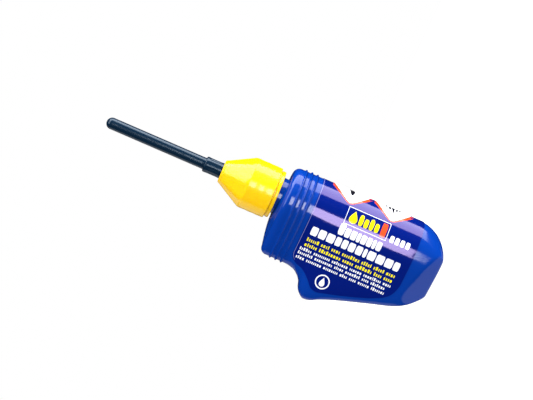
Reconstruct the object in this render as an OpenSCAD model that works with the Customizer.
// Glue applicator bottle: a flat squeeze bottle with a finger heel, a screw-on
// eight-sided nozzle collar, a steel needle in its plug, and a pull-off needle cap.
// Frame: +Z up along the needle, origin where the needle axis meets the flat base,
// the heel towards -X, the printed front towards -Y. Millimetres.

/* [Body] */
// Distance of the straight edge opposite the heel from the needle axis
edge_x = 12.5; // [11.5:0.1:13.5]
// Half of the body's thickness, at its crest over the needle axis
body_half_t = 12; // [11:0.1:13]
// Half of the thickness that the body thins towards, far out on the heel side
heel_half_t = 4.5; // [4:0.1:6]
// Distance over which the body thins from its crest towards the heel
taper_reach = 14.5; // [12:0.5:18]
// How far the edge bevel along the heel's outline drops
heel_bevel = 2.9; // [2:0.1:3.2]
// Height of the rounded corner between the base and the straight edge
base_arc_h = 12.8; // [11:0.1:14]
// Half-width of the base's flat on the side away from the heel
base_edge_x = 2; // [1:0.1:3]
// Thickness of the blown wall
wall = 1.1; // [0.8:0.05:1.3]

/* [Shoulder] */
// Height at which the shoulder starts to round over
shoulder_z = 60.8; // [60.6:0.1:61]
// Radius of the shoulder's corner
shoulder_r = 2.5; // [2:0.1:2.6]
// Rise from the shoulder's rim to the foot of the neck
dome_h = 1.6; // [1:0.1:2]
// Height of the lowest grip ridge
ridge_z = 54.4; // [54:0.1:55]
// Distance between two grip ridges
ridge_pitch = 2.25; // [2.1:0.05:2.3]
// Height that a grip ridge stands out
ridge_h = 0.55; // [0.3:0.05:0.7]

/* [Neck and thread] */
// Radius of the plain band at the foot of the neck
neck_r = 7; // [6.9:0.05:7.1]
// Radius of the neck under its thread
core_r = 6.5; // [6.3:0.05:6.5]
// Radius of the neck's bore
bore_r = 4.7; // [4.5:0.05:4.8]
// Height of the neck's lip
lip_z = 75; // [74.8:0.1:75.2]
// Pitch of the screw thread
thread_pitch = 3; // [2.9:0.1:3.2]
// Radial height of the thread's ridge
thread_h = 0.85; // [0.7:0.05:0.9]
// Turns of thread on each part
thread_turns = 1.4; // [1:0.1:1.5]

/* [Label] */
// Thickness of the wrapped label
label_t = 0.15; // [0.1:0.05:0.25]
// Height of the label's lower edge
label_z0 = 11; // [11:0.1:12]
// Height of the label's upper edge
label_z1 = 52; // [51.6:0.1:52.2]

/* [Nozzle collar] */
// Distance from the axis to a rounded corner of the eight-sided grip
grip_r = 9.95; // [9.6:0.05:10]
// Radius of the round ring under the grip
ring_r = 9.1; // [8.8:0.05:9.1]
// Distance from the axis to a corner of the front face
face_r = 4.2; // [4.1:0.05:4.4]
// Height of the ring's lower face
collar_z0 = 65.6; // [65.4:0.1:65.8]
// Height of the grip's lower face
grip_z0 = 67.2; // [67:0.1:67.4]
// Height where the grip turns into the eight-sided cone
cone_z0 = 77.5; // [77.4:0.1:77.8]
// Height of the front face
face_z = 88; // [87:0.1:88.5]
// Radius of the collar's bore round the neck
collar_bore_r = 7.75; // [7.7:0.05:7.8]

/* [Needle, plug and seal] */
// Outer radius of the steel needle
needle_r = 0.55; // [0.4:0.05:0.6]
// Bore radius of the steel needle
needle_bore_r = 0.35; // [0.2:0.05:0.35]
// Height of the needle's tip
needle_tip_z = 132.6; // [120:0.1:132.6]
// Thickness of the sealing washer
seal_t = 0.8; // [0.6:0.1:1]
// Thickness of the plug's flange
flange_t = 1.5; // [1.3:0.1:1.5]
// Radial play of the plug in the neck's bore
plug_play = 0.06; // [0.03:0.01:0.1]

/* [Needle cap] */
// Height of the cap's rounded tip
cap_tip_z = 134.4; // [134.4:0.1:136]
// Radius of the cap's tube
cap_r = 2.25; // [2.1:0.05:2.3]
// Radius of the cap's skirt
skirt_r = 3; // [2.7:0.05:3.1]
// Height of the step between the skirt and the tube
skirt_top_z = 94.9; // [94:0.1:95]
// Number of grip flats round the skirt
skirt_flats = 10; // [8:1:12]

/* [Hidden] */

around = 60;               // points round each outer section of the body
around_in = 40;            // points round each section of the cavity
exact_fn = 96;             // segments of the round parts when drawn on screen
shoulder_top = shoulder_z + shoulder_r;
dome_top = shoulder_top + dome_h;

// Outline of the heel side, as [height, x]: up the sloping back, round the
// heel's tip and in along the finger rest to the straight side under the neck.
HEEL = [[0, -13.2], [2, -15.7], [5, -18.6], [9, -20.9], [18, -23.7], [32, -28.2],
        [36, -29.8], [39.5, -31.4], [41.5, -31.6], [43.4, -30.4], [44.7, -28.6],
        [45.5, -26.3], [47, -24.4], [49.2, -22.9], [52.5, -22.2], [58, -22.1],
        [64, -22.1]];

// The same outline inside the wall.
HEEL_IN = [[1.2, -12], [3, -14.9], [5, -17], [9, -19.4], [18, -22.3], [32, -26.8],
           [36, -28.4], [39, -29.9], [41, -30], [42.5, -28.4], [43.6, -25.8],
           [44.6, -23.9], [46.4, -22.3], [49, -21.4], [53, -20.95], [64, -20.9]];

// Left boundary of the label, as [height, x], parallel to the heel's outline.
LABEL_LEFT = [[11, -13], [11.6, -15.4], [13, -17.8], [16, -20], [25.5, -23.7],
              [34.5, -26.3], [38.5, -27.2], [40.6, -26.6], [43.2, -24], [46.5, -21.3],
              [49.5, -20.2], [51.3, -18.8], [52, -17.4]];

// Index of the interval of a [key, value] list that holds k.
function slot_of(k, pts, i = 0) =
    (i >= len(pts) - 2 || k < pts[i + 1][0]) ? i : slot_of(k, pts, i + 1);

// Slope of the list at point i, limited so that the curve never overshoots.
function step_slope(pts, i) = (pts[i + 1][1] - pts[i][1]) / (pts[i + 1][0] - pts[i][0]);
function tangent(pts, i) =
    i == 0 ? step_slope(pts, 0) :
    i == len(pts) - 1 ? step_slope(pts, i - 1) :
    let (a = step_slope(pts, i - 1), b = step_slope(pts, i))
    a * b <= 0 ? 0 : 2 * a * b / (a + b);

// Smooth curve through a [key, value] list.
function curve(k, pts) =
    let (i = slot_of(k, pts), w = pts[i + 1][0] - pts[i][0],
         t = max(0, min(1, (k - pts[i][0]) / w)))
    pts[i][1] * (1 + 2 * t) * pow(1 - t, 2) + tangent(pts, i) * w * t * pow(1 - t, 2)
    + pts[i + 1][1] * t * t * (3 - 2 * t) - tangent(pts, i + 1) * w * t * t * (1 - t);

function mix(a, b, t) = a + (b - a) * t;
function smooth(a, b, v) = let (t = max(0, min(1, (v - a) / (b - a)))) t * t * (3 - 2 * t);
// Smaller of two values, with a round transition of width k.
function soft_min(a, b, k) = min(a, b) - pow(max(k - abs(a - b), 0), 2) / (4 * k);

// How far the shoulder's corner has drawn the outline in at height z.
function corner_in(z) =
    z <= shoulder_z ? 0 : shoulder_r - sqrt(max(0, pow(shoulder_r, 2) - pow(z - shoulder_z, 2)));
// How far the small round at the foot of the body draws the outline in.
foot_r = 0.8;
function foot_in(z) = z >= foot_r ? 0 : foot_r - sqrt(pow(foot_r, 2) - pow(foot_r - z, 2));
// How far the grip ridges stand out at height z.
ridge_half_w = 0.62;
function ridge_out(z) =
    let (d = min([for (i = [0 : 2]) abs(z - ridge_z - i * ridge_pitch)]))
    d >= ridge_half_w ? 0 : ridge_h * (1 + cos(180 * d / ridge_half_w)) / 2;

// Exponent of the section on the heel side: boxy low down, an ellipse at the shoulder.
function fullness(z) = mix(4, 2, smooth(40, 54, z));

// Outline on the edge side and on the heel side, grown by g.
function edge_at(z, g) =
    let (h = base_arc_h + g, zz = max(0, base_arc_h - z))
    base_edge_x + (edge_x + g - base_edge_x) * sqrt(max(0, 1 - pow(zz / h, 2)));
// Slope of the heel's outline, limited where the outline runs almost level.
steepest = 1.4;
function heel_slope(z) =
    let (slope = (curve(z + 0.1, HEEL) - curve(z - 0.1, HEEL)) / 0.2)
    slope / sqrt(1 + pow(slope / steepest, 2));

// Half-thickness of the body at x before its outline closes it: flat at the crest,
// thinning towards the heel.
function taper(x) =
    x >= 0 ? body_half_t
           : heel_half_t + (body_half_t - heel_half_t) / (1 + pow(x / taper_reach, 2));

// Bevels just inside the outline: up the heel, and round the foot, where the bevel
// reaches higher towards the heel.
heel_bevel_rise = 0.9;     // rise for each millimetre in from the heel's outline
foot_bevel_rise = 0.5;     // rise for each millimetre up from the base
function foot_bevel_top(x) = 4 - (x < 0 ? 0.4 : 0.25) * x;
function bevel_at(x, x_left, z, slope) =
    soft_min(taper(x_left) - heel_bevel + heel_bevel_rise * (x - x_left) / sqrt(1 + slope * slope),
             taper(x) - foot_bevel_rise * (foot_bevel_top(x) - z), 0.6);

// One point of the section at height z and angle a: drop is how far the surface lies
// inside the body's, and n the fullness of the heel side.
function section_point(z, a, left, right, n, drop) =
    let (c = cos(a), x = c >= 0 ? right * c : -left * c, m = c >= 0 ? 2 : n,
         pillow = (taper(x) - drop) * pow(max(0, 1 - pow(abs(c), m)), 1 / m),
         bevel = bevel_at(x, curve(z, HEEL), z, heel_slope(z)) - drop,
         y = max(0, soft_min(pillow, bevel, 0.5)))
    [x, a > 180 || a < 0 ? -y : y, z];

// Outer section at height z, grown by g.
function outer_point(z, a, g = 0) =
    let (inset = corner_in(z) + foot_in(z) - ridge_out(z) - g)
    section_point(z, a, curve(z, HEEL) + inset, edge_at(z, 0) - inset, fullness(z), inset);

// Section of the cavity at height z.
function inner_point(z, a) =
    let (inset = corner_in(z + wall))
    section_point(z, a, curve(z, HEEL_IN) + inset, edge_at(z, -wall) - inset, fullness(z),
                  wall + 0.1 + inset);

// The top of the shoulder, from its rim (t = 0) to the foot of the neck (t = 1):
// level on the edge side, rising to the neck on the heel side.
function dome_point(t, a) =
    let (rim = outer_point(shoulder_top, a), foot = neck_r - 0.2)
    [mix(rim[0], foot * cos(a), t), mix(rim[1], foot * sin(a), t),
     shoulder_top + dome_h * (1 - cos(a)) / 2 * sin(90 * t)];

// Heights of the body's sections: close together where the outline turns.
OUTER_Z = concat(
    [for (i = [0 : 9]) base_arc_h * (1 - cos(10 * i))],
    [16, 20, 25, 30, 34, 37], [39, 40, 41, 41.5, 42, 43], [43.8, 44.4, 44.9, 45.3, 45.8],
    [46.5, 47.5, 48.7, 50, 51.5, 52.8],
    [for (i = [0 : 2]) for (k = [-2 : 2]) ridge_z + i * ridge_pitch + k * ridge_half_w / 2],
    [for (i = [0 : 5]) shoulder_z + shoulder_r * sin(17 * i)], [shoulder_top]);
INNER_Z = concat(
    [for (i = [0 : 6]) base_arc_h - (base_arc_h - wall - 0.1) * cos(15 * i)],
    [18, 24, 30, 35, 38, 40, 41.5, 42.5, 43.3, 44, 44.8, 46, 48, 51, 55, 58.5],
    [for (i = [1 : 4]) shoulder_z - wall + shoulder_r * sin(22 * i)]);

// Closed solid through a list of rings of points, all with the same count.
module loft(rings) {
    n = len(rings[0]);
    m = len(rings);
    sides = [for (j = [0 : m - 2]) for (i = [0 : n - 1])
        let (a = j * n + i, b = j * n + (i + 1) % n) each [[a, b + n, b], [a, a + n, b + n]]];
    polyhedron([for (r = rings) each r],
               concat([[for (i = [0 : n - 1]) i]], sides,
                      [[for (i = [n - 1 : -1 : 0]) (m - 1) * n + i]]), convexity = 6);
}

// Thin closed skin between two grids of points with the same rows and columns.
module skin(outside, inside) {
    m = len(outside);
    n = len(outside[0]);
    k = m * n;
    cells = [for (j = [0 : m - 2]) for (i = [0 : n - 2]) j * n + i];
    rim = concat([for (i = [0 : n - 2]) i], [for (j = [0 : m - 2]) j * n + n - 1],
                 [for (i = [n - 1 : -1 : 1]) (m - 1) * n + i], [for (j = [m - 1 : -1 : 1]) j * n]);
    polyhedron([for (g = [outside, inside]) for (row = g) each row],
               concat([for (a = cells) each [[a, a + n + 1, a + 1], [a, a + n, a + n + 1]]],
                      [for (a = cells) each [[a + k, a + k + 1, a + k + n + 1],
                                             [a + k, a + k + n + 1, a + k + n]]],
                      [for (i = [0 : len(rim) - 1]) let (a = rim[i], b = rim[(i + 1) % len(rim)])
                          each [[a, b, b + k], [a, b + k, a + k]]]), convexity = 6);
}

// Helical ridge from radius root to radius crest, ramping in and out at its ends.
module thread_ridge(root, crest, z0, turns) {
    step = 15;
    steps = floor(turns * 360 / step);
    root_w = 0.65;
    crest_w = 0.3;
    loft([for (k = [0 : steps])
        let (a = k * step, t = min(1, min(k, steps - k) / 3 + 0.1), side = sign(crest - root),
             r = mix(root, crest, t), z = z0 + thread_pitch * a / 360)
        [for (p = [[root, -root_w], [root, root_w], [r, mix(root_w, crest_w, t)],
                   [r, -mix(root_w, crest_w, t)]])
            [p[0] * cos(a), p[0] * sin(a), z + side * p[1]]]]);
}

// A solid of revolution about the needle axis, from [radius, height] points.
module turned(points) {
    rotate_extrude($fn = exact_fn) polygon(points);
}

thread_z = 69.5;                              // middle of the neck thread's first turn
collar_thread_z = thread_z - thread_pitch / 2;
root_bite = 0.25;                             // depth the ridges are set into their walls

// Blown bottle: body, eccentric neck and external thread in one shell.
module bottle() color("royalblue") {
    difference() {
        union() {
            loft(concat([for (z = OUTER_Z)
                            [for (i = [0 : around - 1]) outer_point(z, 360 * i / around)]],
                        [for (t = [0.15, 0.4, 0.7, 1])
                            [for (i = [0 : around - 1]) dome_point(t, 360 * i / around)]],
                        [[for (i = [0 : around - 1]) let (a = 360 * i / around)
                            [core_r * 0.8 * cos(a), core_r * 0.8 * sin(a), shoulder_top]]]));
            turned([[0, shoulder_z], [neck_r, shoulder_z], [neck_r, grip_z0 - 0.3],
                    [core_r, grip_z0 + 0.2], [core_r, lip_z - 0.4], [core_r - 0.4, lip_z],
                    [0, lip_z]]);
            thread_ridge(core_r - root_bite, core_r + thread_h, thread_z, thread_turns);
        }
        loft([for (z = INNER_Z)
            [for (i = [0 : around_in - 1]) inner_point(z, 360 * i / around_in)]]);
        translate([0, 0, shoulder_z - 2])
            cylinder(r = bore_r, h = lip_z - shoulder_z + 3, $fn = exact_fn);
    }
}

// Printed label, wrapped over the straight edge from the front to the back. Its grid
// shares the body's sections, so the two surfaces stay a constant gap apart.
label_gap = 0.05;
shared_end = 120;          // angle up to which the label shares the body's columns
free_columns = 5;
function label_row(z, g) =
    let (end = 180 - acos(curve(z, LABEL_LEFT) / curve(z, HEEL)),
         half = concat([for (a = [0 : 360 / around : shared_end]) a],
                       [for (k = [1 : free_columns]) mix(shared_end, end, k / free_columns)]))
    [for (i = [1 - len(half) : len(half) - 1])
        outer_point(z, sign(i) * half[abs(i)], g)];
module wrap_label() color("navy") {
    rows = concat([label_z0],
                  [for (z = OUTER_Z) if (z > label_z0 + 0.3 && z < label_z1 - 0.3) z],
                  [label_z1]);
    skin([for (z = rows) label_row(z, label_gap + label_t)],
         [for (z = rows) label_row(z, label_gap)]);
}

// Eight-sided prism or cone with rounded corners at radius r1, and r2 at its top.
flat_share = 0.975;        // distance to a flat, as a share of the distance to a corner
module eight_sided(r1, r2, h) {
    k = flat_share / cos(22.5);
    intersection() {
        cylinder(r1 = r1, r2 = r2, h = h, $fn = exact_fn);
        cylinder(r1 = r1 * k, r2 = r2 * k, h = h, $fn = 8);
    }
}

// Eight-sided screw collar with its internal thread.
module nozzle_collar() color("yellow") {
    flange_top = lip_z + seal_t + flange_t;
    play = 0.1;
    difference() {
        union() {
            translate([0, 0, collar_z0])
                cylinder(r = ring_r, h = grip_z0 - collar_z0 + 0.1, $fn = exact_fn);
            translate([0, 0, grip_z0]) eight_sided(grip_r, grip_r, cone_z0 - grip_z0);
            translate([0, 0, cone_z0]) eight_sided(grip_r, face_r, face_z - cone_z0);
        }
        turned([[0, collar_z0 - 1], [collar_bore_r, collar_z0 - 1],
                [collar_bore_r, flange_top + play], [5.6, flange_top + play],
                [skirt_r + 0.3, face_z - 4.2], [skirt_r + 0.3, face_z + 1], [0, face_z + 1]]);
    }
    thread_ridge(collar_bore_r + root_bite, collar_bore_r - thread_h, collar_thread_z,
                 thread_turns);
}

// Plug that closes the neck and holds the needle, with a nose for the cap.
nose_r = 2;
nose_z = 92;
needle_foot_z = 82;
module needle_plug() color("dimgray") {
    seat_z = lip_z + seal_t;
    plug_r = bore_r - plug_play;
    passage_r = 3.8;
    turned([[passage_r, lip_z - 6.2], [plug_r - 0.4, lip_z - 6.2], [plug_r, lip_z - 5.6],
            [plug_r, seat_z], [6.6, seat_z], [6.6, seat_z + flange_t],
            [5.2, seat_z + flange_t], [2.7, face_z - 4.4], [nose_r, face_z - 3.6],
            [nose_r, nose_z - 0.3], [nose_r - 0.3, nose_z], [needle_r, nose_z],
            [needle_r, needle_foot_z], [passage_r, needle_foot_z - 3]]);
}

// Sealing washer between the neck's lip and the plug's flange.
module neck_seal() color("white") {
    turned([[bore_r + 0.1, lip_z], [core_r - 0.2, lip_z], [core_r - 0.2, lip_z + seal_t],
            [bore_r + 0.1, lip_z + seal_t]]);
}

// Steel tube that meters the glue.
module needle() color("silver") {
    difference() {
        translate([0, 0, needle_foot_z])
            cylinder(r = needle_r, h = needle_tip_z - needle_foot_z, $fn = exact_fn);
        translate([0, 0, needle_foot_z - 1])
            cylinder(r = needle_bore_r, h = needle_tip_z - needle_foot_z + 2, $fn = exact_fn);
    }
}

// Long thin cap that slides over the needle and grips the plug's nose.
skirt_z0 = 86.2;
cap_bore_r = 1.3;
module needle_cap() color("midnightblue") {
    grip_play = 0.05;
    difference() {
        turned(concat(
            [[0, skirt_z0], [skirt_r - 0.2, skirt_z0], [skirt_r, skirt_z0 + 0.2],
             [skirt_r, skirt_top_z - 0.3], [skirt_r - 0.3, skirt_top_z],
             [cap_r + 0.1, skirt_top_z]],
            [for (a = [0 : 10 : 90])
                [cap_r * cos(a), cap_tip_z - cap_r + cap_r * sin(a)]]));
        turned([[0, skirt_z0 - 1], [nose_r + grip_play, skirt_z0 - 1],
                [nose_r + grip_play, nose_z + 0.2], [cap_bore_r, nose_z + 0.8],
                [cap_bore_r, needle_tip_z + 0.2], [0, needle_tip_z + 0.5]]);
        for (i = [0 : skirt_flats - 1]) rotate(i * 360 / skirt_flats)
            translate([skirt_r - 0.15, -0.25, face_z + 0.6])
                cube([1, 0.5, skirt_top_z - face_z - 1.6]);
    }
}

bottle();
wrap_label();
nozzle_collar();
needle_plug();
neck_seal();
needle();
needle_cap();
